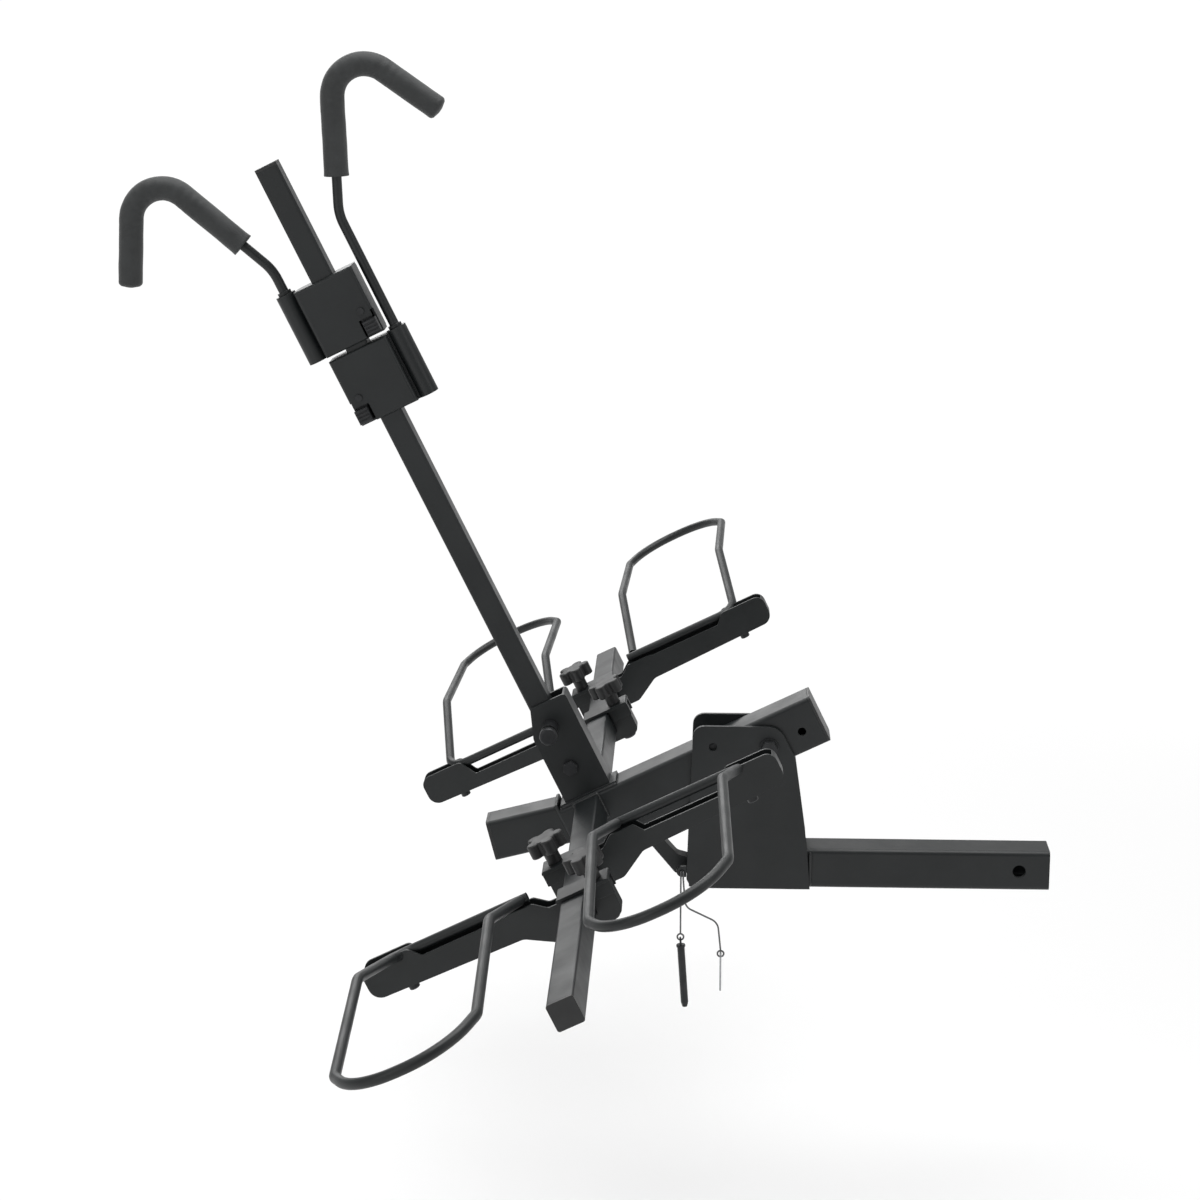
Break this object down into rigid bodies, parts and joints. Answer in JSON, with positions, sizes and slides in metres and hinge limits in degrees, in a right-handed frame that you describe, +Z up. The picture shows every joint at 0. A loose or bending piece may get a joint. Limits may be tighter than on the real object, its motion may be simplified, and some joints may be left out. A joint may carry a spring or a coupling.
{
  "type": "hitch mounted bike rack",
  "caption": "Platform bike rack for a square hitch receiver, with tilting arm, folding mast, sliding clamp hooks and sliding wheel holders.",
  "frame": {"origin": "centre of the hitch pin bore through the shank, on the shank's axis", "axes": "+X towards the vehicle along the shank, +Y towards the vehicle's left along the pin, +Z up"},
  "size_m": [1.1501, 1.838, 1.1948],
  "materials": {
    "frame_paint": "satin black powder coat",
    "holder_paint": "satin black powder coat",
    "cover_paint": "satin black powder coat",
    "black_hardware": "black zinc",
    "steel": "bright zinc",
    "nylon": "natural nylon",
    "black_plastic": "moulded, fine grain",
    "cable_cover": "vinyl-covered cable",
    "foam": "closed-cell foam sleeve"
  },
  "bodies": {
    "hitch": {"hitch_shank": "frame_paint", "upright_plate_right": "frame_paint", "upright_plate_left": "frame_paint", "upright_web": "frame_paint", "tether_lug": "frame_paint", "pivot_fasteners": "black_hardware"},
    "pin": {"lock_pin": "black_hardware", "pin_tether": "cable_cover"},
    "clip": {"lock_clip": "steel", "clip_tether": "cable_cover"},
    "arm": {"main_arm": "frame_paint", "pivot_sleeve": "steel", "outer_stub": "frame_paint", "arm_plugs": "black_plastic", "tilt_stop": "frame_paint", "cross_tube": "frame_paint", "cross_plugs": "black_plastic", "mast_bracket": "frame_paint", "mast_fasteners": "black_hardware", "plunger_housing": "black_hardware", "plunger_spring": "steel"},
    "plunger": {"plunger_pin": "black_hardware"},
    "mast": {"mast_tube": "frame_paint", "mast_bush": "nylon", "mast_cap": "black_plastic"},
    "upper_block": {"upper_block_body": "frame_paint", "upper_block_cover": "cover_paint", "upper_fasteners": "black_hardware"},
    "upper_lever": {"upper_lever": "black_hardware"},
    "upper_hook": {"upper_hook_rod": "frame_paint", "upper_hook_nut": "black_hardware", "upper_hook_foam": "foam"},
    "lower_block": {"lower_block_body": "frame_paint", "lower_block_cover": "cover_paint", "lower_fasteners": "black_hardware"},
    "lower_lever": {"lower_lever": "black_hardware"},
    "lower_hook": {"lower_hook_rod": "frame_paint", "lower_hook_nut": "black_hardware", "lower_hook_foam": "foam"},
    "outer_right_holder": {"outer_right_tray": "holder_paint", "outer_right_hoop": "holder_paint", "outer_right_jaw": "holder_paint", "outer_right_bolts": "black_hardware"},
    "outer_right_knob": {"outer_right_knob": "black_plastic"},
    "inner_right_holder": {"inner_right_tray": "holder_paint", "inner_right_hoop": "holder_paint", "inner_right_jaw": "holder_paint", "inner_right_bolts": "black_hardware"},
    "inner_right_knob": {"inner_right_knob": "black_plastic"},
    "outer_left_holder": {"outer_left_tray": "holder_paint", "outer_left_hoop": "holder_paint", "outer_left_jaw": "holder_paint", "outer_left_bolts": "black_hardware"},
    "outer_left_knob": {"outer_left_knob": "black_plastic"},
    "inner_left_holder": {"inner_left_tray": "holder_paint", "inner_left_hoop": "holder_paint", "inner_left_jaw": "holder_paint", "inner_left_bolts": "black_hardware"},
    "inner_left_knob": {"inner_left_knob": "black_plastic"}
  },
  "joints": [
    {"name": "rack_tilt", "type": "hinge", "parent": "hitch", "child": "arm", "pos_m": [-0.31539, 0, 0.16028], "axis": [0, 1, 0], "range_deg": [0, 116]},
    {"name": "mast_fold", "type": "hinge", "parent": "arm", "child": "mast", "pos_m": [-0.5633, 0, 0.12793], "axis": [0, -1, 0], "range_deg": [0, 90]},
    {"name": "mast_plunger", "type": "slide", "parent": "arm", "child": "plunger", "axis": [0, 1, 0], "range_m": [0, 0.0075]},
    {"name": "pin_swing", "type": "hinge", "parent": "hitch", "child": "pin", "pos_m": [-0.4225, -0.02795, -0.004], "axis": [0, 1, 0], "range_deg": [0, 20]},
    {"name": "clip_swing", "type": "hinge", "parent": "hitch", "child": "clip", "pos_m": [-0.4225, -0.02795, -0.004], "axis": [0, -1, 0], "range_deg": [0, 15]},
    {"name": "upper_block_slide", "type": "slide", "parent": "mast", "child": "upper_block", "axis": [-0.4384, 0, 0.8988], "range_m": [0, 0.12]},
    {"name": "upper_lever_press", "type": "hinge", "parent": "upper_block", "child": "upper_lever", "pos_m": [-0.81507, 0, 0.70162], "axis": [0, -1, 0], "range_deg": [0, 13]},
    {"name": "upper_hook_swivel", "type": "hinge", "parent": "upper_block", "child": "upper_hook", "pos_m": [-0.89102, 0, 0.68238], "axis": [-0.4384, 0, 0.8988], "range_deg": [-45, 45]},
    {"name": "lower_block_slide", "type": "slide", "parent": "mast", "child": "lower_block", "axis": [-0.4384, 0, 0.8988], "range_m": [-0.33, 0]},
    {"name": "lower_lever_press", "type": "hinge", "parent": "lower_block", "child": "lower_lever", "pos_m": [-0.81939, 0, 0.59549], "axis": [0, 1, 0], "range_deg": [0, 13]},
    {"name": "lower_hook_swivel", "type": "hinge", "parent": "lower_block", "child": "lower_hook", "pos_m": [-0.75746, 0, 0.64349], "axis": [-0.4384, 0, 0.8988], "range_deg": [-45, 45]},
    {"name": "outer_right_holder_slide", "type": "slide", "parent": "arm", "child": "outer_right_holder", "axis": [0, -1, 0], "range_m": [-0.02, 0.28]},
    {"name": "outer_right_knob_turn", "type": "hinge", "parent": "outer_right_holder", "child": "outer_right_knob", "pos_m": [-0.52937, -0.36, 0.12223], "axis": [-0.4384, 0, 0.8988], "continuous": true},
    {"name": "inner_right_holder_slide", "type": "slide", "parent": "arm", "child": "inner_right_holder", "axis": [0, 1, 0], "range_m": [-0.04, 0.16]},
    {"name": "inner_right_knob_turn", "type": "hinge", "parent": "inner_right_holder", "child": "inner_right_knob", "pos_m": [-0.5797, -0.235, 0.09768], "axis": [-0.4384, 0, 0.8988], "continuous": true},
    {"name": "outer_left_holder_slide", "type": "slide", "parent": "arm", "child": "outer_left_holder", "axis": [0, -1, 0], "range_m": [-0.05, 0.265]},
    {"name": "outer_left_knob_turn", "type": "hinge", "parent": "outer_left_holder", "child": "outer_left_knob", "pos_m": [-0.52937, 0.35, 0.12223], "axis": [-0.4384, 0, 0.8988], "continuous": true},
    {"name": "inner_left_holder_slide", "type": "slide", "parent": "arm", "child": "inner_left_holder", "axis": [0, 1, 0], "range_m": [-0.03, 0.13]},
    {"name": "inner_left_knob_turn", "type": "hinge", "parent": "inner_left_holder", "child": "inner_left_knob", "pos_m": [-0.5797, 0.51, 0.09768], "axis": [-0.4384, 0, 0.8988], "continuous": true}
  ]
}
